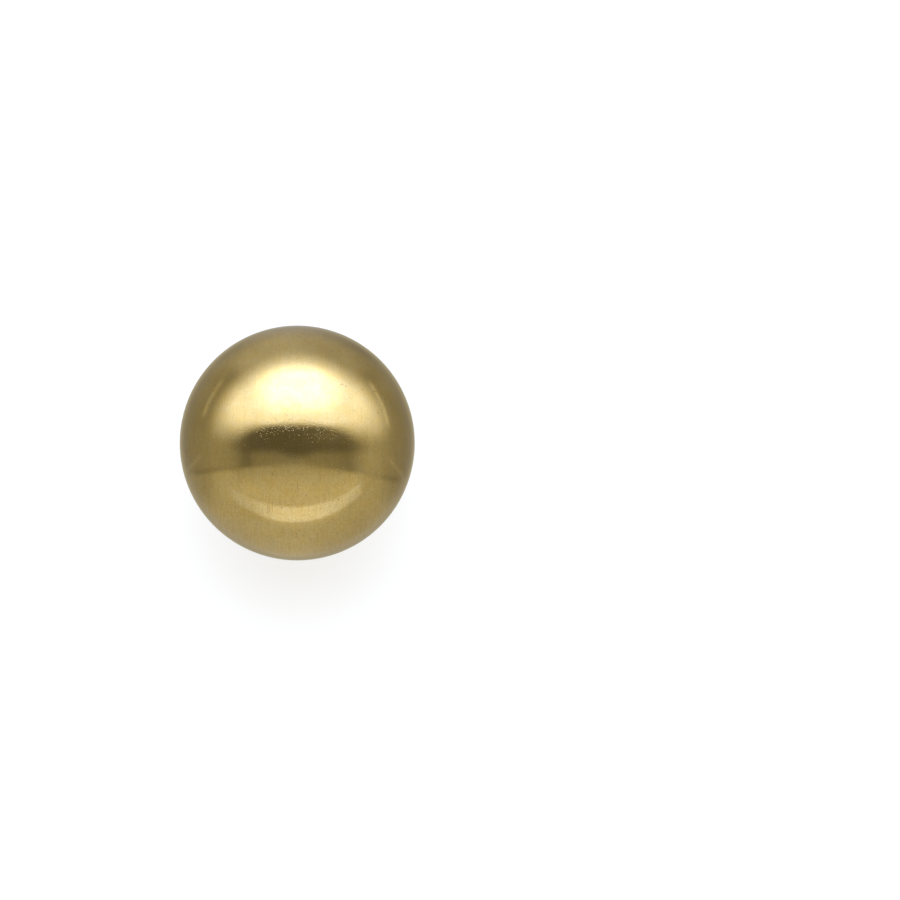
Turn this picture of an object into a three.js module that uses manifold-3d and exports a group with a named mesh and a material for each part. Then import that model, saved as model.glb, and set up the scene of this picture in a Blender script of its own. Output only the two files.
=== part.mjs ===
// A domed button earring that clips on. A hollow half ball of gold-toned brass has its rim turned in
// over a flat back plate, and a one-piece spring clip is staked to that plate. The ear lobe goes
// between the clip's foot, which lies on the plate, and its leaf.
//
// Millimetres, +Z up. The earring stands dome up on the flat back of its leaf. The origin lies on
// that surface, straight under the dome's pole, and +Y points to the top of the earring as worn.

import * as THREE from "three";
import { mergeVertices } from "three/addons/utils/BufferGeometryUtils.js";
import Module from "manifold-3d";

// Dome: half ball, straight skirt and turned-in rim
const domeDiameter = 25;
const domeWall = 0.8;
const skirtWall = 0.45;
const rimRound = 0.7;
const lipThickness = 0.6;
const lipWidth = 1.2;

// Back plate
const plateThickness = 0.6;
const plateEdgeGap = 0.08;

// Spring clip: one strip, bent
const stripThickness = 0.8;
const lobeGap = 5;
const bendWidth = 5.2;
const bendCentreY = -6;
const footWidth = 6.4;
const footTopY = 5.6;
const leafWidth = 9;
const leafFlatTopY = 3.2;
const padBendRadius = 3;
const padAngle = 28;
const padRise = 3;
const tipFlare = 14;
const tipRun = 1.2;

// Pegs drawn up from the clip's foot, pushed through the plate and peened over inside the dome
const pegDiameter = 1.2;
const pegClearance = 0.08;
const peenedDiameter = 2.2;
const peenedHeight = 0.4;
const pegSpacing = 5.4;
const pegMiddleY = -0.6;

// Gap between faces that seat on each other
const seatGap = 0.05;

// Facets
const roundSides = 72;
const domeSteps = 20;
const hollowSteps = 10;
const rimSteps = 4;
const bendSteps = 16;
const padSteps = 5;
const outlineSteps = 20;
const pegSides = 24;
const peenedSteps = 5;

// Heights above the surface that the earring stands on
const leafTop = stripThickness;
const footBottom = leafTop + lobeGap;
const footTop = footBottom + stripThickness;
const plateBottom = footTop + seatGap;
const plateTop = plateBottom + plateThickness;
const domeBase = plateTop + seatGap; // the ledge on which the plate bears, and the half ball's centre
const lipTop = plateBottom - seatGap;
const lipBottom = lipTop - lipThickness;
const bendCentreZ = (leafTop + footBottom) / 2;

const domeRadius = domeDiameter / 2;
const hollowRadius = domeRadius - domeWall;
const plateSeatRadius = domeRadius - skirtWall;
const plateRadius = plateSeatRadius - plateEdgeGap;
const pegHoleRadius = pegDiameter / 2 + pegClearance;
const pegYs = [pegMiddleY + pegSpacing / 2, pegMiddleY - pegSpacing / 2];

const wasm = await Module();
wasm.setup();

function solidOf(geometry) {
  const bare = new THREE.BufferGeometry().setAttribute(
    "position",
    geometry.getAttribute("position"),
  );
  if (geometry.index) bare.setIndex(geometry.index);
  const merged = mergeVertices(bare, 1e-5);
  return new wasm.Manifold(
    new wasm.Mesh({
      numProp: 3,
      vertProperties: new Float32Array(merged.getAttribute("position").array),
      triVerts: new Uint32Array(merged.index.array),
    }),
  );
}

function geometryOf(solid) {
  const mesh = solid.getMesh();
  const position = new Float32Array(mesh.numVert * 3);
  for (let i = 0; i < mesh.numVert; i++) {
    const start = i * mesh.numProp;
    position.set(mesh.vertProperties.subarray(start, start + 3), i * 3);
  }
  const geometry = new THREE.BufferGeometry()
    .setAttribute("position", new THREE.BufferAttribute(position, 3))
    .setIndex(new THREE.BufferAttribute(new Uint32Array(mesh.triVerts), 1));
  geometry.computeVertexNormals();
  return geometry;
}

// Points on an arc, its two ends included. Angles in degrees from the first axis.
function arcPoints(centreX, centreY, radius, fromDeg, toDeg, steps) {
  return Array.from({ length: steps + 1 }, (_, i) => {
    const angle = THREE.MathUtils.degToRad(
      fromDeg + ((toDeg - fromDeg) * i) / steps,
    );
    return new THREE.Vector2(
      centreX + radius * Math.cos(angle),
      centreY + radius * Math.sin(angle),
    );
  });
}

// Turns a profile of (radius, height) points round the Z axis.
function turned(profile, sides) {
  const onAxis = profile.map((p) => new THREE.Vector2(Math.max(p.x, 0), p.y));
  return new THREE.LatheGeometry(onAxis, sides).rotateX(Math.PI / 2);
}

// Extrudes a shape in the XY plane from one height to another.
function standing(shape, bottom, top) {
  return new THREE.ExtrudeGeometry(shape, {
    depth: top - bottom,
    bevelEnabled: false,
    curveSegments: outlineSteps,
  }).translate(0, 0, bottom);
}

// Half ball outside and inside, a ledge for the plate, and the rim turned in below it.
function domeGeometry() {
  const lipInnerRadius = plateSeatRadius - lipWidth;
  const outside = arcPoints(0, domeBase, domeRadius, 90, 0, domeSteps);
  const rim = arcPoints(
    domeRadius - rimRound,
    lipBottom + rimRound,
    rimRound,
    0,
    -90,
    rimSteps,
  );
  const lip = [
    new THREE.Vector2(lipInnerRadius, lipBottom),
    new THREE.Vector2(lipInnerRadius, lipTop),
    new THREE.Vector2(plateSeatRadius, lipTop),
    new THREE.Vector2(plateSeatRadius, domeBase),
  ];
  const inside = arcPoints(0, domeBase, hollowRadius, 0, 90, hollowSteps);
  return turned([...outside, ...rim, ...lip, ...inside].reverse(), roundSides);
}

// A round bar along Z, centred on the plate's middle height.
function plateBar(radius, length, sides) {
  return new THREE.CylinderGeometry(radius, radius, length, sides)
    .rotateX(Math.PI / 2)
    .translate(0, 0, (plateBottom + plateTop) / 2);
}

// A flat disc with a round hole for each peg.
function plateGeometry() {
  const disc = solidOf(plateBar(plateRadius, plateThickness, roundSides));
  const drill = plateBar(pegHoleRadius, plateThickness + 2, pegSides);
  return geometryOf(
    pegYs.reduce(
      (cut, y) => cut.subtract(solidOf(drill.clone().translate(0, y, 0))),
      disc,
    ),
  );
}

// The strip's middle line in the YZ plane, as straight runs and bends that follow each other from
// the foot's upper end. A positive turn is anticlockwise, with +Y to the right and +Z up.
function stripMiddleLine() {
  const bendRadius = (lobeGap + stripThickness) / 2;
  const pieces = [
    { run: footTopY - bendCentreY },
    { bend: bendRadius, turn: 180, steps: bendSteps },
    { run: leafFlatTopY - bendCentreY },
    { bend: padBendRadius, turn: padAngle, steps: padSteps },
    { run: padRise },
    { bend: padBendRadius, turn: -(padAngle + tipFlare), steps: padSteps },
    { run: tipRun },
  ];
  let heading = Math.PI;
  let at = new THREE.Vector2(footTopY, footTop - stripThickness / 2);
  const line = [{ at, heading }];
  for (const { run = 0, bend = 0, turn = 0, steps = 1 } of pieces) {
    const turnStep = THREE.MathUtils.degToRad(turn) / steps;
    const chord = bend
      ? 2 * bend * Math.sin(Math.abs(turnStep) / 2)
      : run / steps;
    for (let i = 0; i < steps; i++) {
      const along = heading + turnStep / 2;
      at = new THREE.Vector2(
        at.x + chord * Math.cos(along),
        at.y + chord * Math.sin(along),
      );
      heading += turnStep;
      line.push({ at, heading });
    }
  }
  return line;
}

// The strip seen from the side: its middle line with half the thickness on either side.
function stripSide(line) {
  const offset = ({ at, heading }, distance) =>
    new THREE.Vector2(
      at.x - distance * Math.sin(heading),
      at.y + distance * Math.cos(heading),
    );
  const half = stripThickness / 2;
  const left = line.map((p) => offset(p, half));
  const right = line.map((p) => offset(p, -half));
  return new THREE.Shape([...left, ...right.reverse()]);
}

// A tongue seen along Z: as wide as the bend below, with straight sides that run tangent into a
// round end at endY.
function tongue(endWidth, endY) {
  const endRadius = endWidth / 2;
  const bendHalf = bendWidth / 2;
  const endCentreY = endY - endRadius;
  const bottomY = bendCentreY - lobeGap - 2 * stripThickness;
  const reach = endCentreY - bendCentreY;
  const tangent =
    Math.atan2(reach, bendHalf) -
    Math.acos(endRadius / Math.hypot(bendHalf, reach));
  const shape = new THREE.Shape();
  shape.moveTo(-bendHalf, bottomY);
  shape.lineTo(bendHalf, bottomY);
  shape.lineTo(bendHalf, bendCentreY);
  shape.absarc(0, endCentreY, endRadius, -tangent, Math.PI + tangent, false);
  shape.lineTo(-bendHalf, bendCentreY);
  return shape;
}

// From the middle of the foot's thickness through the plate, with a low round head above it.
function pegGeometry() {
  const headBottom = plateTop + seatGap;
  const head = arcPoints(0, 0, 1, 0, 90, peenedSteps).map(
    (p) =>
      new THREE.Vector2(
        (p.x * peenedDiameter) / 2,
        headBottom + p.y * peenedHeight,
      ),
  );
  const rootZ = footTop - stripThickness / 2;
  const shank = [
    new THREE.Vector2(0, rootZ),
    new THREE.Vector2(pegDiameter / 2, rootZ),
    new THREE.Vector2(pegDiameter / 2, headBottom),
  ];
  return turned([...shank, ...head], pegSides);
}

// The bent strip, cut to its outline, and its two pegs, as one solid.
function clipGeometry() {
  const line = stripMiddleLine();
  const widest = Math.max(bendWidth, footWidth, leafWidth) + 2;
  const side = new THREE.ExtrudeGeometry(stripSide(line), {
    depth: widest,
    bevelEnabled: false,
  });
  // The side view's axes are Y and Z, and it is extruded along X.
  side.applyMatrix4(
    new THREE.Matrix4().makeBasis(
      new THREE.Vector3(0, 1, 0),
      new THREE.Vector3(0, 0, 1),
      new THREE.Vector3(1, 0, 0),
    ),
  );
  side.translate(-widest / 2, 0, 0);
  const tip = line[line.length - 1];
  const tipY = tip.at.x;
  const above = tongue(footWidth, footTopY);
  const below = tongue(leafWidth, tipY);
  const plan = solidOf(standing(above, bendCentreZ, plateTop)).add(
    solidOf(standing(below, -stripThickness, bendCentreZ)),
  );
  const strip = solidOf(side).intersect(plan);
  const peg = pegGeometry();
  return geometryOf(
    pegYs.reduce(
      (joined, y) => joined.add(solidOf(peg.clone().translate(0, y, 0))),
      strip,
    ),
  );
}

const satinGold = new THREE.MeshStandardMaterial({
  color: 0xb59a58,
  roughness: 0.3,
  metalness: 1,
});
const plateGold = new THREE.MeshStandardMaterial({
  color: 0xbda261,
  roughness: 0.35,
  metalness: 1,
});
const springGold = new THREE.MeshStandardMaterial({
  color: 0xc2a766,
  roughness: 0.25,
  metalness: 1,
});
function named(name, geometry, material) {
  const mesh = new THREE.Mesh(geometry, material);
  mesh.name = name;
  return mesh;
}

const earring = new THREE.Group();
earring.add(
  named("dome", domeGeometry(), satinGold),
  named("back_plate", plateGeometry(), plateGold),
  named("ear_clip", clipGeometry(), springGold),
);

export default earring;
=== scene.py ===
"""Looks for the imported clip-on earring: a satin gold half ball on a flat back plate with a clip.

It is laid out as an add-on and run as a script. Lengths are in metres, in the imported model's own frame:
the earring stands on the flat back of its leaf at Z = 0, dome up, and +Y is its top as worn.
"""

import math

import bmesh
import bpy
import numpy as np
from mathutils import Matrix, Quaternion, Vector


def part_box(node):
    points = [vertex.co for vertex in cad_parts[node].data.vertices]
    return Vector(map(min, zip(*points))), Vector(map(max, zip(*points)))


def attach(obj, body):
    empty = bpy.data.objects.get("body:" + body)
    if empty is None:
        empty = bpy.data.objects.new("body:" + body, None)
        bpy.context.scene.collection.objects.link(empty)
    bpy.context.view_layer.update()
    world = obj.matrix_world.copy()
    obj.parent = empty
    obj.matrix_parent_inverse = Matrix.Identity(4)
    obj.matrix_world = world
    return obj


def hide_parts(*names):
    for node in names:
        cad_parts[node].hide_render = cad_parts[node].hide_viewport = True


bl_info = {
    "name": "Clip-on dome earring",
    "version": (1, 0, 0),
    "blender": (4, 5, 0),
    "location": "3D View > Sidebar > Earring",
    "description": "Builds the looks of a satin gold clip-on dome earring around its packed model",
    "category": "Add Mesh",
}

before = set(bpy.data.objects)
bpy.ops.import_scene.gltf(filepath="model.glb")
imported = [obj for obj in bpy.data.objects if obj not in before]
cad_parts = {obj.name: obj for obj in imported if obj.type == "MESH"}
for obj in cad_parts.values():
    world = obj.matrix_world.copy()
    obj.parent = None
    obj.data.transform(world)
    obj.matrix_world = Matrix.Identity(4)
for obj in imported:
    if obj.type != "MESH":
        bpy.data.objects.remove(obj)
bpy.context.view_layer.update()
DOME_LOW, DOME_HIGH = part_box("dome")
CLIP_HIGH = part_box("ear_clip")[1]

MM = 0.001
DOME_RADIUS = (DOME_HIGH.x - DOME_LOW.x) / 2
DOME_CENTRE = DOME_HIGH.z - DOME_RADIUS

EDGE_ROW = 0.03 * MM  # from a small round to the row of points that keeps it sharp
FLOOR_DROP = 0.02 * MM  # from the surface that the earring stands on down to the floor's sheet

MELLOW_TINT = (1.015, 0.98, 0.86, 1.0)  # what multiplies the plating's colour in its yellower places
GLANCING_TINT = (0.86, 0.85, 0.80, 1.0)  # tint of the metal seen edge on

# Upright scuffs on the dome: across, lowest and highest, in millimetres from its pole
SCUFFS = ((-3.1, -7.4, -6.3), (-2.93, -7.2, -6.5), (-2.62, -7.1, -6.1), (0.0, -4.8, -4.0))
# Oval spots on the dome: across, up, half width and half height, in millimetres from its pole
SPECKED = ((4.3, 9.2, 1.3, 0.9), (0.3, -9.2, 1.6, 0.7), (0.0, -6.6, 2.6, 0.3), (-6.6, -7.2, 1.6, 1.2))
PEPPERED = ((-1.4, 0.8, 3.0, 1.2), (2.2, 1.0, 2.4, 1.2))

# The tent's levels are the linear red that the dome shows, so they are divided by the metal's own red
METAL_RED = 0.42
COOL_TINT = np.array([1.0, 1.15, 1.9])  # colour of the tent where its coolness is 1
PATTERN_DROP = 0.0045  # how far the tent's pattern is moved down, in dome radii
RIM_LEVEL = 0.25  # what the outermost ring of the dome mirrors


def length(name, description, default):
    """A length that a user can change, in metres."""
    return bpy.props.FloatProperty(
        name=name, description=description, default=default, min=0.0, precision=5, unit="LENGTH"
    )


def share(name, description, default, largest=1.0):
    """A plain number from 0 up."""
    return bpy.props.FloatProperty(
        name=name, description=description, default=default, min=0.0, max=largest, precision=3
    )


def colour(name, description, default):
    """A linear colour."""
    return bpy.props.FloatVectorProperty(
        name=name, description=description, default=default, size=3, min=0.0, max=1.0, subtype="COLOR"
    )


class EarringSizes(bpy.types.PropertyGroup):
    """Sizes of the dome and the clip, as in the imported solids."""

    dome_wall: length("Dome wall", "Sheet thickness of the half ball", 0.8 * MM)
    skirt_wall: length("Skirt wall", "Wall left outside the seat of the back plate", 0.45 * MM)
    rim_round: length("Rim round", "Outer radius of the turned-in rim", 0.7 * MM)
    lip_thickness: length("Lip thickness", "Thickness of the lip behind the back plate", 0.6 * MM)
    lip_width: length("Lip width", "How far the lip reaches in over the back plate", 1.2 * MM)
    edge_round: length("Edge round", "Radius of the broken edges", 0.12 * MM)
    strip: length("Strip thickness", "Thickness of the clip's strip", 0.8 * MM)
    bend_width: length("Bend width", "Width of the strip round its bend", 5.2 * MM)
    bend_centre: length("Bend centre", "How far below the middle the bend is centred", 6.0 * MM)
    lobe_gap: length("Lobe gap", "Space between the foot and the leaf", 5.0 * MM)
    foot_width: length("Foot width", "Width of the foot's round end", 6.4 * MM)
    foot_top: length("Foot top", "How far above the middle the foot ends", 5.6 * MM)
    leaf_width: length("Leaf width", "Width of the leaf's round end", 9.0 * MM)
    leaf_flat_top: length("Leaf flat", "How far above the middle the leaf starts to rise", 3.2 * MM)
    pad_bend: length("Pad bend", "Radius of the two bends at the pad", 3.0 * MM)
    pad_run: length("Pad run", "Straight run between the pad's bends", 3.0 * MM)
    tip_run: length("Tip run", "Straight run at the very tip", 1.2 * MM)
    pad_angle: bpy.props.FloatProperty(
        name="Pad angle", description="Rise of the pad", default=math.radians(28), subtype="ANGLE"
    )
    tip_flare: bpy.props.FloatProperty(
        name="Tip flare", description="Fall of the tip", default=math.radians(14), subtype="ANGLE"
    )
    peg_diameter: length("Peg diameter", "Diameter of the two pegs", 1.2 * MM)
    peened_diameter: length("Peened head", "Diameter of the pegs' peened heads", 2.2 * MM)
    peened_height: length("Peened height", "Height of the pegs' peened heads", 0.4 * MM)
    peg_spacing: length("Peg spacing", "Distance between the two pegs", 5.4 * MM)
    peg_drop: length("Peg drop", "How far below the middle the pegs are centred", 0.6 * MM)


class EarringFinish(bpy.types.PropertyGroup):
    """Colours and surface of the metal."""

    gold: colour("Gold", "Colour of the dome's plating", (0.465, 0.342, 0.122))
    warm_gold: colour("Warm gold", "Colour where the plating is worn and browner", (0.37, 0.258, 0.078))
    back_gold: colour("Back gold", "Colour of the back plate", (0.46, 0.345, 0.13))
    clip_gold: colour("Clip gold", "Colour of the clip", (0.50, 0.38, 0.15))
    dirt: colour("Dirt", "Colour of the dirt in pits and scratches", (0.17, 0.115, 0.04))
    satin: share("Satin", "Roughness of the dome", 0.085)
    back_satin: share("Back satin", "Roughness of the back plate", 0.3)
    clip_satin: share("Clip satin", "Roughness of the clip", 0.2)


class EarringStudio(bpy.types.PropertyGroup):
    """Camera, floor and light tent."""

    dome_pixels: share("Dome width", "Width of the dome in the picture, in pixels", 234.9, 900.0)
    dome_left: share("Dome from left", "Pixels from the left edge to the dome's middle", 297.35, 900.0)
    dome_down: share("Dome from top", "Pixels from the top edge to the dome's middle", 443.0, 900.0)
    lens: share("Lens", "Focal length in millimetres", 200.0, 500.0)
    tent_radius: length("Tent radius", "Radius of the light tent", 4.0)
    brightness: share("Brightness", "Strength of the light tent", 1.0, 20.0)
    floor_colour: colour("Floor", "Colour of the floor", (0.28, 0.266, 0.2))
    floor_glow: share("Floor glow", "Light that comes up through the floor", 0.72, 5.0)
    background: share("Background", "Brightness of the plain background", 1.1, 5.0)


class Wire:
    """A socket's output with operators that add Math nodes."""

    def __init__(self, graph, socket):
        self.graph = graph
        self.socket = socket

    def math(self, operation, *others):
        values = dict(enumerate((self, *others)))
        return self.graph.add("ShaderNodeMath", {"operation": operation}, values)

    def __add__(self, other):
        return self.math("ADD", other)

    def __radd__(self, other):
        return self.math("ADD", other)

    def __mul__(self, other):
        return self.math("MULTIPLY", other)

    def __rmul__(self, other):
        return self.math("MULTIPLY", other)

    def __sub__(self, other):
        return self.math("SUBTRACT", other)

    def __rsub__(self, other):
        return self.graph.add("ShaderNodeMath", {"operation": "SUBTRACT"}, {0: other, 1: self})

    def __truediv__(self, other):
        return self.math("DIVIDE", other)

    def __pow__(self, other):
        return self.math("POWER", other)

    def __abs__(self):
        return self.math("ABSOLUTE")

    def least(self, other):
        """The smaller of the two."""
        return self.math("MINIMUM", other)

    def most(self, other):
        """The larger of the two."""
        return self.math("MAXIMUM", other)

    def step(self, low, high):
        """Smoothly from 0 at low to 1 at high, and the other way round where low is the larger."""
        falling = low > high
        values = {0: self, 1: min(low, high), 2: max(low, high), 3: float(falling), 4: float(not falling)}
        return self.graph.add("ShaderNodeMapRange", {"interpolation_type": "SMOOTHSTEP"}, values)


class Graph:
    """A new material's node tree."""

    def __init__(self, name):
        self.material = bpy.data.materials.new(name)
        self.material.use_nodes = True
        self.tree = self.material.node_tree
        self.tree.nodes.clear()

    def add(self, kind, settings=None, values=None, output=0):
        """Adds a node, sets its settings and then its sockets, and returns one of its outputs."""
        node = self.tree.nodes.new(kind)
        for name, value in (settings or {}).items():
            setattr(node, name, value)
        for name, value in (values or {}).items():
            if isinstance(value, Wire):
                self.tree.links.new(value.socket, node.inputs[name])
            else:
                node.inputs[name].default_value = value
        return None if output is None else Wire(self, node.outputs[output])

    def place(self):
        """Object coordinates in millimetres."""
        at = self.add("ShaderNodeTexCoord", output="Object")
        return self.add("ShaderNodeVectorMath", {"operation": "SCALE"}, {0: at, "Scale": 1 / MM})

    def parts(self, vector):
        """The X, Y and Z of a vector."""
        node = self.add("ShaderNodeSeparateXYZ", values={0: vector}).socket.node
        return [Wire(self, s) for s in node.outputs]

    def vector(self, x, y, z):
        """A vector of three numbers."""
        return self.add("ShaderNodeCombineXYZ", values={0: x, 1: y, 2: z})

    def noise(self, vector, scale, detail=2.0, roughness=0.5):
        """Cloudy noise, from 0 to 1."""
        values = {"Vector": vector, "Scale": scale, "Detail": detail, "Roughness": roughness}
        return self.add("ShaderNodeTexNoise", {"noise_dimensions": "3D"}, values)

    def spots(self, vector, scale):
        """Distance to the nearest of points strewn at random, in shares of their spacing."""
        return self.add("ShaderNodeTexVoronoi", {"feature": "F1"}, {"Vector": vector, "Scale": scale})

    def dents(self, vector, scale):
        """Round dents strewn at random, from 0 to 1 deep, with many of their places left empty."""
        spots = self.spots(vector, scale)
        colours = Wire(self, spots.socket.node.outputs["Color"])
        deep = self.add("ShaderNodeSeparateColor", values={0: colours})
        return spots.step(0.42, 0.0) * deep.step(0.45, 0.95)

    def blend(self, factor, first, second, how="MIX"):
        """From the first colour to the second, or to both multiplied, as the factor goes from 0 to 1."""
        values = {"Factor": factor, 6: first, 7: second}
        return self.add("ShaderNodeMix", {"data_type": "RGBA", "blend_type": how}, values, 2)

    def bump(self, height, depth):
        """Relief whose height of 1 stands for a depth in metres."""
        return self.add("ShaderNodeBump", values={"Strength": 1.0, "Distance": depth, "Height": height})

    def finish(self, shader):
        """Joins the shader to the material's output and returns the material."""
        self.add("ShaderNodeOutputMaterial", values={"Surface": shader}, output=None)
        return self.material


def rgba(tone):
    """A colour with full cover."""
    return (*tone, 1.0)


def grid_faces(rows, columns):
    """Corner numbers of the quads of a grid of points whose last column is joined to its first."""
    r, c = np.meshgrid(np.arange(rows - 1), np.arange(columns), indexing="ij")
    n = (c + 1) % columns
    return np.stack([r * columns + c, r * columns + n, (r + 1) * columns + n, (r + 1) * columns + c], -1)


def mesh_piece(name, surfaces, material):
    """A smooth-shaded object of one or more closed grids of points (rows, columns, 3), joined round."""
    points, faces, start = [], [], 0
    for grid in surfaces:
        rows, columns, _ = grid.shape
        points.append(grid.reshape(-1, 3))
        faces.append(grid_faces(rows, columns).reshape(-1, 4) + start)
        start += rows * columns
    points, faces = np.concatenate(points), np.concatenate(faces)
    mesh = bpy.data.meshes.new(name)
    mesh.vertices.add(len(points))
    mesh.vertices.foreach_set("co", points.ravel().astype(np.float32))
    mesh.loops.add(faces.size)
    mesh.loops.foreach_set("vertex_index", faces.ravel().astype(np.int32))
    mesh.polygons.add(len(faces))
    mesh.polygons.foreach_set("loop_start", np.arange(0, faces.size, 4, dtype=np.int32))
    mesh.update(calc_edges=True)
    merged = bmesh.new()
    merged.from_mesh(mesh)
    bmesh.ops.remove_doubles(merged, verts=merged.verts, dist=1e-7)
    bmesh.ops.recalc_face_normals(merged, faces=merged.faces)
    merged.to_mesh(mesh)
    merged.free()
    mesh.polygons.foreach_set("use_smooth", np.ones(len(mesh.polygons), bool))
    mesh.materials.append(material)
    mesh.update()
    piece = bpy.data.objects.new(name, mesh)
    bpy.context.scene.collection.objects.link(piece)
    return piece


def arc(centre, radius, start, end, steps):
    """Points (across, up) on an arc round a centre, with angles in degrees from the across axis."""
    a = np.radians(np.linspace(start, end, steps + 1))
    return np.stack([centre[0] + radius * np.cos(a), centre[1] + radius * np.sin(a)], -1)


def turned(profile, sides):
    """Each profile point (radius, height) carried round Z: x = r cos a, y = r sin a, z = height."""
    a = np.linspace(0, 2 * np.pi, sides, endpoint=False)
    r, z = np.maximum(profile[:, :1], 0.0), profile[:, 1:]
    return np.stack([r * np.cos(a), r * np.sin(a), z + 0 * a], -1)


def dome_surface(sizes):
    """The half ball's outside, skirt, rolled rim, lip, plate seat and hollow, as one turned profile."""
    outer, centre = DOME_RADIUS, DOME_CENTRE
    hollow, seat = outer - sizes.dome_wall, outer - sizes.skirt_wall
    low = DOME_LOW.z
    lip_top = low + sizes.lip_thickness
    lip_in = seat - sizes.lip_width
    roll, edge, near = sizes.rim_round, sizes.edge_round, EDGE_ROW
    profile = np.concatenate(
        [
            arc((0, centre), outer, 90, 0, 110),
            [(outer, low + roll + near)],
            arc((outer - roll, low + roll), roll, 0, -90, 14),
            [(outer - roll - near, low), (lip_in + edge + near, low)],
            arc((lip_in + edge, low + edge), edge, -90, -180, 6),
            [(lip_in, low + edge + near), (lip_in, lip_top - edge - near)],
            arc((lip_in + edge, lip_top - edge), edge, 180, 90, 6),
            [(lip_in + edge + near, lip_top), (seat, lip_top), (seat, centre)],
            arc((0, centre), hollow, 0, 90, 48),
        ]
    )
    return turned(profile, 256)


def clip_path(sizes):
    """The strip's middle line, summed up from runs and bends: distance along it, Y, Z and heading.

    The last array holds the distances at which its runs and bends end.
    """
    bend = (sizes.lobe_gap + sizes.strip) / 2
    pieces = [
        (sizes.foot_top + sizes.bend_centre, 0.0),
        (np.pi * bend, np.pi),
        (sizes.leaf_flat_top + sizes.bend_centre, 0.0),
        (sizes.pad_bend * sizes.pad_angle, sizes.pad_angle),
        (sizes.pad_run, 0.0),
        (sizes.pad_bend * (sizes.pad_angle + sizes.tip_flare), -(sizes.pad_angle + sizes.tip_flare)),
        (sizes.tip_run, 0.0),
    ]
    runs, turns = np.array(pieces).T
    ends = np.concatenate([[0.0], np.cumsum(runs)])
    headings = np.pi + np.concatenate([[0.0], np.cumsum(turns)])
    along = np.linspace(0, ends[-1], 6001)
    heading = np.interp(along, ends, headings)
    middle = (heading[1:] + heading[:-1]) / 2
    step = np.diff(along)
    y = sizes.foot_top + np.concatenate([[0.0], np.cumsum(step * np.cos(middle))])
    z = sizes.strip * 1.5 + sizes.lobe_gap + np.concatenate([[0.0], np.cumsum(step * np.sin(middle))])
    return along, y, z, heading, ends


def tongue_half_width(sizes, y, end_width, end_y):
    """Half the strip's width at Y: straight sides from the bend, tangent to a round end."""
    bend_half, end_round = sizes.bend_width / 2, end_width / 2
    end_centre = end_y - end_round
    reach = end_centre + sizes.bend_centre
    slant = math.atan2(reach, bend_half) - math.acos(end_round / math.hypot(bend_half, reach))
    touch_y, touch_x = end_centre - end_round * math.sin(slant), end_round * math.cos(slant)
    side = np.interp(y, [-sizes.bend_centre, touch_y], [bend_half, touch_x])
    end = np.sqrt(np.maximum(end_round**2 - (y - end_centre) ** 2, 0.0))
    return np.where(y > touch_y, end, side)


def clip_outline(sizes, along, y, ends):
    """The strip's flat outline as points (distance along, half width) that run round it.

    Beside each point come the direction inward, square to the outline, and the point of the spine that
    it faces. The rows lie closer together round the two ends.
    """
    foot_end, leaf_end = ends[1], ends[2]
    tip_y = y[-1]
    foot_round, leaf_round = sizes.foot_width / 2, sizes.leaf_width / 2
    angle = np.linspace(np.pi / 2, 0, 28)
    foot_ys = sizes.foot_top - foot_round + foot_round * np.sin(angle)
    tip_ys = tip_y - leaf_round + leaf_round * np.sin(angle[::-1])
    on_foot, on_leaf = along <= foot_end, along >= leaf_end
    s_foot = np.interp(-foot_ys, -y[on_foot], along[on_foot])
    s_tip = np.interp(tip_ys, y[on_leaf], along[on_leaf])
    s = np.concatenate([s_foot, np.linspace(s_foot[-1], s_tip[0], 150)[1:-1], s_tip])
    at_y = np.interp(s, along, y)
    half = np.full(len(s), sizes.bend_width / 2)
    foot, leaf = s <= foot_end, s >= leaf_end
    half[foot] = tongue_half_width(sizes, at_y[foot], sizes.foot_width, sizes.foot_top)
    half[leaf] = tongue_half_width(sizes, at_y[leaf], sizes.leaf_width, tip_y)
    half[[0, -1]] = 0.0
    back = np.s_[-2:0:-1]
    outline = np.stack([np.concatenate([s, s[back]]), np.concatenate([half, -half[back]])], -1)
    tangent = np.roll(outline, -1, 0) - np.roll(outline, 1, 0)
    inward = np.stack([-tangent[:, 1], tangent[:, 0]], -1)
    inward /= np.linalg.norm(inward, axis=1, keepdims=True)
    to_middle = np.array([[s.mean(), 0.0]]) - outline
    inward *= np.sign((inward * to_middle).sum(1, keepdims=True))
    spine = np.stack([np.clip(outline[:, 0], s_foot[-1], s_tip[0]), 0 * outline[:, 0]], -1)
    return outline, inward, spine


def clip_surface(sizes):
    """The bent strip: its flat outline thickened with broken edges, then bent along the middle line.

    Row by row it runs round the outline. Across, it goes from the spine over the upper face, round the
    edge and back over the lower face to the spine. Each point is then set off from the middle line.
    """
    along, y, z, heading, ends = clip_path(sizes)
    outline, inward, spine = clip_outline(sizes, along, y, ends)
    edge, half_thick = sizes.edge_round, sizes.strip / 2
    quarter = np.radians(np.linspace(0, 90, 6))
    sunk, drawn_in = edge * (1 - np.cos(quarter)), edge * (1 - np.sin(quarter))
    inset = np.concatenate([drawn_in, [0.0], drawn_in[::-1]])
    height = np.concatenate([half_thick - sunk, [0.0], sunk[::-1] - half_thick])
    across = np.linspace(0, 1, 9)
    near = outline + inward * (edge + EDGE_ROW)
    rim = outline[:, None] + inward[:, None] * inset[None, :, None]
    face = spine[:, None] + (near - spine)[:, None] * across[None, :, None]
    flat = np.concatenate([face, rim, face[:, ::-1]], 1)
    level = np.full(len(across), half_thick)
    tall = np.concatenate([level, height, -level])
    s, w = flat[..., 0], flat[..., 1]
    mid_y, mid_z = np.interp(s, along, y), np.interp(s, along, z)
    turn = np.interp(s, along, heading)
    points = np.stack([w, mid_y + tall * np.sin(turn), mid_z - tall * np.cos(turn)], -1)
    return points.transpose(1, 0, 2)


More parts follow.
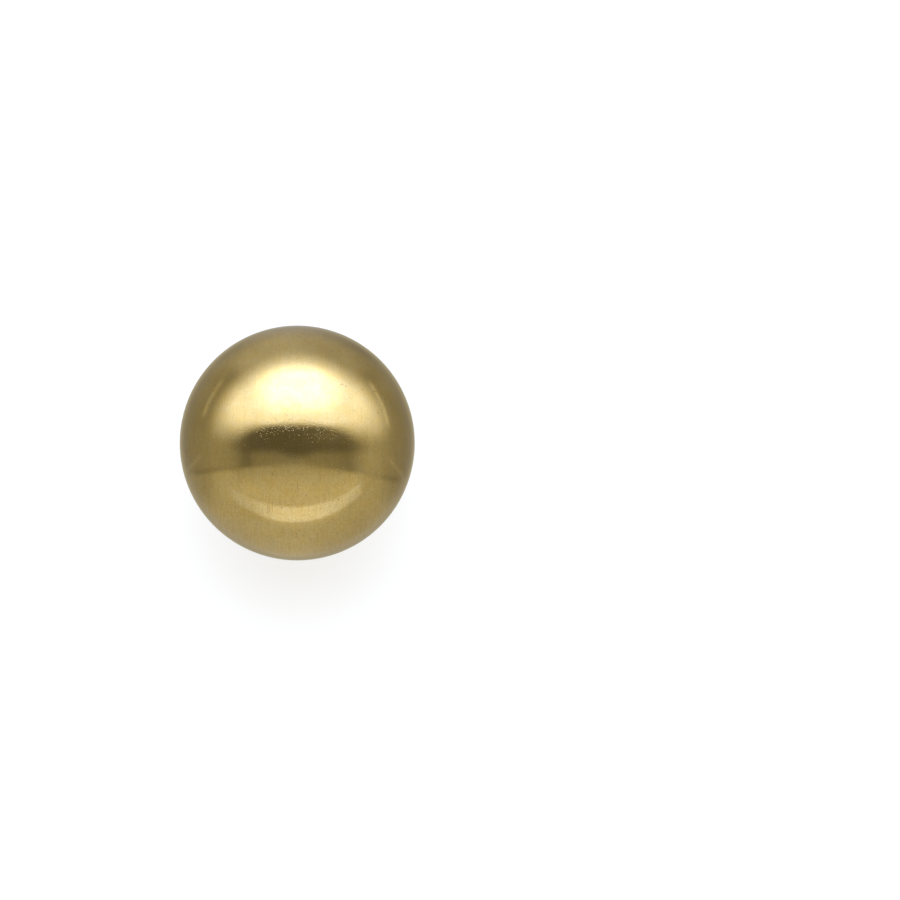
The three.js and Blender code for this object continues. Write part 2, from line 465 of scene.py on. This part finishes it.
def peg_surface(sizes, at_y):
    """One peg turned round its own axis: from inside the foot through the plate to a low round head."""
    root = sizes.strip * 1.5 + sizes.lobe_gap
    head = CLIP_HIGH.z - sizes.peened_height
    dome = arc((0, 0), 1, 0, 90, 8) * [sizes.peened_diameter / 2, sizes.peened_height] + [0, head]
    shank = [(0, root), (sizes.peg_diameter / 2, root), (sizes.peg_diameter / 2, head)]
    return turned(np.concatenate([shank, dome]), 32) + [0, at_y, 0]


def scratches(g, at, x, y, z):
    """Thin scratches two ways, in places: the hearts of cells that are drawn out long and narrow."""
    upright = g.spots(g.vector(x * 6.0 - y * 1.4, y * 0.35 + x * 0.08, z * 0.5), 1.0)
    askew = g.spots(g.vector(x * 2.8 + y * 4.6, y * 0.22 - x * 0.3, z * 0.5), 1.0)
    here = g.noise(at, 0.35, 1.0).step(0.42, 0.56)
    return upright.step(0.17, 0.06).most(askew.step(0.15, 0.06)) * here


def gold(name, finish, base, satin, relief, marks=None):
    """Satin gold plating, with patterns in millimetres and relief of a depth in metres.

    It has browner patches, hairlines both ways, grain, thin scratches, dimples, and pits with dirt in
    them. Marks gives what only one piece has.
    """
    g = Graph(name)
    at = g.place()
    x, y, z = g.parts(at)
    patches = g.noise(at, 0.30, 3.0, 0.55).step(0.40, 0.66)
    mellow = 1.0 - g.noise(at, 0.9, 3.0, 0.6).step(0.35, 0.65)
    hair = g.noise(g.vector(x * 5.0, y * 0.40, z * 0.40), 1.0, 4.0, 0.75) - 0.5
    cross = g.noise(g.vector(x * 0.5, y * 5.0, z * 3.0), 1.0, 4.0, 0.75) - 0.5
    grain = g.noise(at, 3.8, 4.0, 0.85) - 0.5
    scratch = scratches(g, at, x, y, z)
    dirty = g.noise(at, 0.55, 2.0).step(0.54, 0.66)
    dimples = g.dents(at, 5.0) * g.noise(at, 0.5, 2.0).step(0.38, 0.56)
    gain = 1.0
    if marks:
        scuffs, specked, peppered, gain = marks(x, y)
        scratch, dirty = scratch.most(scuffs), dirty.most(specked)
        dimples = dimples.most(g.dents(at, 7.5) * peppered * 1.45)
    pits = (g.spots(at, 1.7) + grain * 0.25).step(0.24, 0.06) * dirty
    wear = (grain * 2.0 + hair * 1.2 + cross * 0.4) * gain + patches * 0.25 + 0.32
    shade = g.blend(wear.most(0.0).least(1.0), rgba(base), rgba(finish.warm_gold))
    shade = g.blend((pits * 0.5 + scratch * 0.35).least(1.0), shade, rgba(finish.dirt))
    shade = g.blend(1.0, shade, g.blend(mellow, (1.0, 1.0, 1.0, 1.0), MELLOW_TINT), "MULTIPLY")
    rough = satin + grain * 0.12 + hair * 0.06 + patches * 0.03 + pits * 0.15
    height = grain * 0.30 + hair * 0.25 + cross * 0.2 - pits * 0.8 - dimples - scratch * 0.5
    values = {"Base Color": shade, "Metallic": 1.0, "Roughness": rough.most(0.05)}
    values |= {"Normal": g.bump(height, relief), "Specular Tint": GLANCING_TINT}
    return g.finish(g.add("ShaderNodeBsdfPrincipled", values=values))


def dome_marks(x, y):
    """The dome's scuffs, its specked and its peppered places, and the strength of its grain."""
    scuffs = None
    for across, low, high in SCUFFS:
        mark = abs(x - across).step(0.09, 0.0) * y.step(low - 0.2, low + 0.1) * y.step(high + 0.2, high - 0.1)
        scuffs = scuffs.most(mark) if scuffs else mark
    under_gap = y.step(-1.5, -5.5)
    panel = y.step(0.5, 2.5) * y.step(9.6, 8.0)
    return scuffs, near_any(x, y, SPECKED), near_any(x, y, PEPPERED), under_gap * 0.55 + 0.9 - panel * 0.3


def near_any(x, y, spots):
    """1 inside any of some oval spots and 0 away from them, by (x / half width)^2 + (y / half height)^2."""
    inside = None
    for across, up, wide, tall in spots:
        far = ((x - across) / wide) ** 2.0 + ((y - up) / tall) ** 2.0
        spot = far.step(1.3, 0.6)
        inside = inside.most(spot) if inside else spot
    return inside


def own(piece, node):
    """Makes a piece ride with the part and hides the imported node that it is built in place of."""
    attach(piece, "root")
    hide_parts(node)


class EARRING_OT_dome(bpy.types.Operator):
    """Build the half-ball dome with its rolled rim"""

    bl_idname = "earring.dome"
    bl_label = "Dome"

    def execute(self, context):
        scene = context.scene
        finish = scene.earring_finish
        material = gold("satin_gold", finish, finish.gold, finish.satin, 0.006 * MM, dome_marks)
        own(mesh_piece("gold_dome", [dome_surface(scene.earring_sizes)], material), "dome")
        return {"FINISHED"}


class EARRING_OT_back_plate(bpy.types.Operator):
    """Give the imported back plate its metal"""

    bl_idname = "earring.back_plate"
    bl_label = "Back plate"

    def execute(self, context):
        finish = context.scene.earring_finish
        material = gold("plain_gold", finish, finish.back_gold, finish.back_satin, 0.003 * MM)
        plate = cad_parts["back_plate"]
        plate.data.materials.clear()
        plate.data.materials.append(material)
        return {"FINISHED"}


class EARRING_OT_ear_clip(bpy.types.Operator):
    """Build the bent clip and its two pegs"""

    bl_idname = "earring.ear_clip"
    bl_label = "Ear clip"

    def execute(self, context):
        scene = context.scene
        sizes, finish = scene.earring_sizes, scene.earring_finish
        material = gold("spring_gold", finish, finish.clip_gold, finish.clip_satin, 0.002 * MM)
        pegs = [peg_surface(sizes, side * sizes.peg_spacing / 2 - sizes.peg_drop) for side in (1, -1)]
        own(mesh_piece("gold_clip", [clip_surface(sizes), *pegs], material), "ear_clip")
        return {"FINISHED"}


def step(low, high, value):
    """Smoothly from 0 at low to 1 at high, and the other way round where low is the larger."""
    t = np.clip((value - low) / (high - low), 0.0, 1.0)
    return t * t * (3 - 2 * t)


def bell(value, width):
    """1 at 0, falling smoothly to nothing a few widths away."""
    return np.exp(-((value / width) ** 2))


def cloth_above(x, y, r, wide):
    """Level of the cloth above the seam: dark, with a lighter crown and sides and two darker corners."""
    sides = (0.055 + 0.042 * x) * bell(wide - 0.62, 0.13) * step(0.9, 0.7, r)
    low_sides = 0.03 * step(0.93, 0.72, r) * step(0.3, 0.7, wide) * step(0.5, 0.1, y)
    crown = (0.125 - 0.09 * x) * bell(x + 0.03, 0.5) * step(0.5, 0.72, y)
    posts = (0.06 - 0.04 * x) * bell(wide - 0.43, 0.062) * step(0.02, -0.06, y)
    top_edge = 0.05 * step(0.88, 0.97, r) * step(0.6, 0.8, y)
    shoulders = 0.025 * bell(r - 0.88, 0.07) * step(0.3, 0.5, y)
    under_gap = 0.05 * bell(x, 0.22) * step(-0.13, -0.19, y)
    left_corner = 0.045 * bell(np.hypot(x + 0.535, y - 0.565), 0.075)
    right_corner = 0.03 * bell((x - 0.6) / 1.5, 0.075) * bell(y - 0.57, 0.06)
    level = 0.20 + sides + low_sides + crown - posts - top_edge + shoulders + under_gap
    return level - left_corner - right_corner


def cloth_below(x, y, r, wide):
    """Level of the cloth below the seam: lighter, with one tone inside a ring and one outside it."""
    low = 0.07 * step(-0.25, -0.42, y)
    by_seam = 0.05 * step(-0.30, -0.21, y)
    inside = 0.385 + 0.055 * x + low - by_seam
    middle = 0.035 * bell(x + 0.05, 0.22)
    rim = 0.02 * step(0.72, 0.9, r)
    right = 0.015 * step(0.0, 0.3, x)
    foot = 0.02 * step(0.2, 0.45, wide) * step(0.8, 0.93, r) * step(-0.5, -0.7, y)
    sides = 0.10 * step(0.58, 0.84, wide) * step(-0.75, -0.35, y)
    outside = 0.372 + middle - rim - right - foot - sides
    ring = step(0.62, 0.74, r + 0.08 * step(0.3, 0.6, wide))
    return inside + (outside - inside) * ring


def tent_cloth(x, y, r, wide):
    """Level of the cloth, with its curved seam, a dark line at both ends of it and the dark gap above it."""
    seam = -0.19 - 0.038 * x - 0.12 * wide**1.6
    blur = 0.015 * bell(x, 0.2) + 0.012
    above, below = cloth_above(x, y, r, wide), cloth_below(x, y, r, wide)
    cloth = above + (below - above) * step(blur, -blur, y - seam)
    line = bell(y - seam, 0.019) * step(0.45, 0.59, wide - 0.03 * np.sign(x)) * step(0.93, 0.88, r)
    line_depth = 0.07 - 0.025 * step(0.3, 0.6, x) * step(0.75, 0.65, x)
    cloth = cloth - line_depth * line
    gap_bottom = -0.105 + 0.035 * step(0.04, 0.2, wide)
    gap = step(0.64, 0.36, wide) * step(gap_bottom - 0.045, gap_bottom + 0.045, y) * step(0.5, 0.3, y)
    gap_level = 0.088 + 0.05 * bell(x - 0.32, 0.2) * step(-0.1, 0.1, y)
    return cloth + (gap_level - cloth) * gap


def lamp_panel(x, y, r, wide):
    """Where the large soft lamp panel shows, from 0 to 1, and its level, highest in its middle."""
    bottom = 0.164 - 0.18 * x**2 - 0.012 * x - 0.009 * bell(wide - 0.5, 0.08)
    bottom = bottom + 0.35 * np.maximum(wide - 0.62, 0.0)
    soft = 0.03 + 0.095 * step(0.22, 0.55, wide)
    outer = r - 0.012 * x - 0.02 * step(0.4, 0.6, wide)
    panel = step(-soft, soft, y - bottom) * step(0.785, 0.595, outer)
    flank = 0.96 - (0.17 - 0.08 * x) * step(0.45, 0.62, wide) * step(0.35, 0.1, y)
    flank = flank + 0.05 * step(0.2, 0.35, y) - 0.09 * step(0.5, 0.62, wide)
    middle = step(0.44, 0.14, wide) * step(0.18, 0.46, y) * step(0.715, 0.56, r)
    return panel, flank + middle


def lamp_haze(x, y, r, wide):
    """Level of the soft light on the cloth round the panel: above it, on its right and at its corners."""
    top = 0.14 * bell(x + 0.05, 0.36) * step(0.86, 0.66, r) * step(0.3, 0.6, y)
    right = 0.05 * bell(r - 0.76, 0.07) * step(0.0, 0.25, y) * step(0.0, 0.4, x) * step(0.42, 0.3, y)
    corners = 0.07 * bell(wide - 0.45, 0.13) * step(0.92, 0.78, r) * step(0.5, 0.62, y)
    return top + right + corners


def curved_strip(x, y, wide):
    """Where the light strip shows, from 0 to 1, as an arc with a thickness, and the level that it adds."""
    from_curl = np.hypot(x + 0.032, y - 0.243)
    thick = 0.062 - 0.026 * step(0.1, 0.6, wide)
    strip = step(0.008, -0.008, np.abs(from_curl - 0.842) - thick) * step(-0.3, -0.36, y)
    strip = strip * step(0.60, 0.54, -x) * step(0.56, 0.52, x)
    return strip, 0.228 - 0.12 * step(0.1, 0.40, wide) - 0.06 * step(0.30, 0.55, -x)


def thin_lines(x, y, r):
    """Level that four thin lines add: an arc along each side of the panel and a straight one at each rim."""
    left = bell(r - 0.825, 0.012) * step(0.60, 0.66, -x) * step(0.20, 0.26, y)
    right = bell(np.hypot(x + 0.075, y) - 0.855, 0.011) * step(0.585, 0.64, x) * step(0.10, 0.2, y)
    rim_left = bell(y + 0.124 - 1.06 * (x + 0.834), 0.012) * step(-0.97, -0.94, x) * step(-0.80, -0.84, x)
    rim_right = bell(y + 0.11 + 1.256 * (x - 0.758), 0.014) * step(0.75, 0.79, x) * step(0.96, 0.92, x)
    return 0.13 * left + 0.21 * right + 0.09 * rim_left + 0.09 * rim_right


def tent_light(x, y):
    """Level and coolness of the tent where the dome's point (x, y), in dome radii, mirrors it to the camera.

    Pale cloth, darker above a curved seam and lighter below it, with a dark gap round the camera. A large
    soft lamp panel lies above that gap, and a curved light strip low in front. Beside x and y the shapes
    use r, the distance from the pole, and wide, the distance from the upright middle line.
    """
    r, wide = np.hypot(x, y), np.abs(x)
    cloth = tent_cloth(x, y, r, wide)
    panel, lamp = lamp_panel(x, y, r, wide)
    haze = lamp_haze(x, y, r, wide)
    strip, glow = curved_strip(x, y, wide)
    level = cloth + (lamp - cloth) * panel + haze * (1 - panel) + glow * strip + thin_lines(x, y, r)
    on_panel = 0.55 + 0.22 * step(0.15, 0.4, y) + 0.25 * step(0.5, 0.2, wide)
    on_panel = on_panel - 0.46 * step(0.36, 0.55, y) * step(0.4, 0.25, wide)
    crown = 0.27 * step(0.4, 0.7, y) * bell(x, 0.4) * (1 - panel)
    foot = 0.14 * step(-0.6, -0.7, y) * step(0.6, -0.2, x) * step(0.97, 0.85, r)
    cool = on_panel * panel + 0.36 * strip + 2.2 * haze + crown + foot
    return level, np.clip(cool + 0.07, 0, 1) - 0.33 * step(0.95, 0.99, r)


def tent_mesh(radius):
    """A ball round the earring whose rows are equal steps of the dome's radius and columns equal angles.

    A dome point at share r of the radius mirrors the direction at twice the angle whose sine is r, so the
    ball's point for (r, a) lies at that polar angle from +Z and at the same angle a round it.
    """
    rows, columns = 200, 400
    r = np.linspace(0.0, 1.0, rows)[:, None]
    a = np.linspace(0, 2 * np.pi, columns, endpoint=False)[None, :]
    polar = 2 * np.arcsin(r)
    away = np.stack([np.sin(polar) * np.cos(a), np.sin(polar) * np.sin(a), np.cos(polar) + 0 * a], -1)
    points = radius * away + [0.0, 0.0, DOME_CENTRE]
    level, cool = tent_light(r * np.cos(a), r * np.sin(a) + PATTERN_DROP)
    level = level + (RIM_LEVEL - level) * step(0.95, 0.99, r)
    return points, level, cool


class EARRING_OT_studio(bpy.types.Operator):
    """Set up the floor, the light tent and the camera"""

    bl_idname = "earring.studio"
    bl_label = "Studio"

    def execute(self, context):
        studio = context.scene.earring_studio
        build_floor(studio)
        build_tent(studio)
        build_camera(context, studio)
        build_background(context, studio)
        return {"FINISHED"}


def build_floor(studio):
    """A wide flat sheet just under the earring, which the metal doesn't mirror."""
    half = studio.tent_radius
    corners = [(-half, -half), (half, -half), (half, half), (-half, half)]
    mesh = bpy.data.meshes.new("floor")
    mesh.from_pydata([(*corner, -FLOOR_DROP) for corner in corners], [], [(0, 1, 2, 3)])
    g = Graph("pale_floor")
    values = {"Base Color": rgba(studio.floor_colour), "Roughness": 0.9, "Specular IOR Level": 0.0}
    values |= {"Emission Color": (1.0, 1.0, 1.0, 1.0), "Emission Strength": studio.floor_glow}
    mesh.materials.append(g.finish(g.add("ShaderNodeBsdfPrincipled", values=values)))
    floor = bpy.data.objects.new("floor", mesh)
    bpy.context.scene.collection.objects.link(floor)
    floor.visible_glossy = False
    floor.visible_shadow = False


def build_tent(studio):
    """The light tent, which lights everything and shows in the metal but not to the camera."""
    points, level, cool = tent_mesh(studio.tent_radius)
    rows, columns, _ = points.shape
    faces = grid_faces(rows, columns).reshape(-1, 4)[:, ::-1]
    mesh = bpy.data.meshes.new("light_tent")
    mesh.from_pydata(points.reshape(-1, 3), [], faces.tolist())
    tint = 1 + cool[..., None] * (COOL_TINT - 1)
    light = level[..., None] / METAL_RED * tint
    shades = np.concatenate([light, np.ones((rows, columns, 1))], -1).astype(np.float32)
    attribute = mesh.color_attributes.new("light", "FLOAT_COLOR", "POINT")
    attribute.data.foreach_set("color", shades.ravel())
    g = Graph("tent_light")
    shade = g.add("ShaderNodeAttribute", {"attribute_name": "light"}, output="Color")
    emission = g.add("ShaderNodeEmission", values={"Color": shade, "Strength": studio.brightness})
    material = g.finish(emission)
    material.cycles.emission_sampling = "NONE"
    mesh.materials.append(material)
    tent = bpy.data.objects.new("light_tent", mesh)
    bpy.context.scene.collection.objects.link(tent)
    tent.visible_camera = False


def build_camera(context, studio):
    """Straight above the dome, as far off as its width in the picture needs, and turned to place it."""
    picture, sensor = 900.0, 36.0
    focal = studio.lens / sensor * picture
    distance = DOME_RADIUS / math.sin(math.atan(studio.dome_pixels / 2 / focal))
    across = math.atan((picture / 2 - studio.dome_left) / focal)
    up = math.atan((picture / 2 - studio.dome_down) / focal)
    camera = bpy.data.objects.new("camera", bpy.data.cameras.new("camera"))
    camera.data.lens = studio.lens
    camera.data.sensor_width = sensor
    camera.data.clip_start = 0.01
    camera.data.clip_end = 20.0
    camera.location = (0.0, 0.0, DOME_CENTRE + distance)
    camera.rotation_mode = "QUATERNION"
    camera.rotation_quaternion = Quaternion((0, 1, 0), -across) @ Quaternion((1, 0, 0), -up)
    context.scene.collection.objects.link(camera)
    context.scene.camera = camera


def build_background(context, studio):
    """A plain pale background that only the camera sees, and colours shown as they are."""
    world = bpy.data.worlds.new("pale_background")
    world.use_nodes = True
    world.node_tree.nodes["Background"].inputs["Color"].default_value = rgba([studio.background] * 3)
    context.scene.world = world
    context.scene.view_settings.view_transform = "Standard"


class EARRING_PT_build(bpy.types.Panel):
    """Lists the earring's pieces"""

    bl_label = "Earring"
    bl_idname = "EARRING_PT_build"
    bl_space_type = "VIEW_3D"
    bl_region_type = "UI"
    bl_category = "Earring"

    def draw(self, context):
        for operator in BUILDERS:
            self.layout.operator(operator.bl_idname)
        for group in ("earring_sizes", "earring_finish", "earring_studio"):
            settings = getattr(context.scene, group)
            for name in settings.__annotations__:
                self.layout.prop(settings, name)


BUILDERS = (EARRING_OT_dome, EARRING_OT_back_plate, EARRING_OT_ear_clip, EARRING_OT_studio)
GROUPS = {
    "earring_sizes": EarringSizes,
    "earring_finish": EarringFinish,
    "earring_studio": EarringStudio,
}


def register():
    for cls in (*GROUPS.values(), *BUILDERS, EARRING_PT_build):
        bpy.utils.register_class(cls)
    for name, cls in GROUPS.items():
        setattr(bpy.types.Scene, name, bpy.props.PointerProperty(type=cls))


def unregister():
    for name in GROUPS:
        delattr(bpy.types.Scene, name)
    for cls in reversed((*GROUPS.values(), *BUILDERS, EARRING_PT_build)):
        bpy.utils.unregister_class(cls)


def main():
    register()
    bpy.ops.earring.dome()
    bpy.ops.earring.back_plate()
    bpy.ops.earring.ear_clip()
    bpy.ops.earring.studio()


if __name__ == "__main__":
    main()
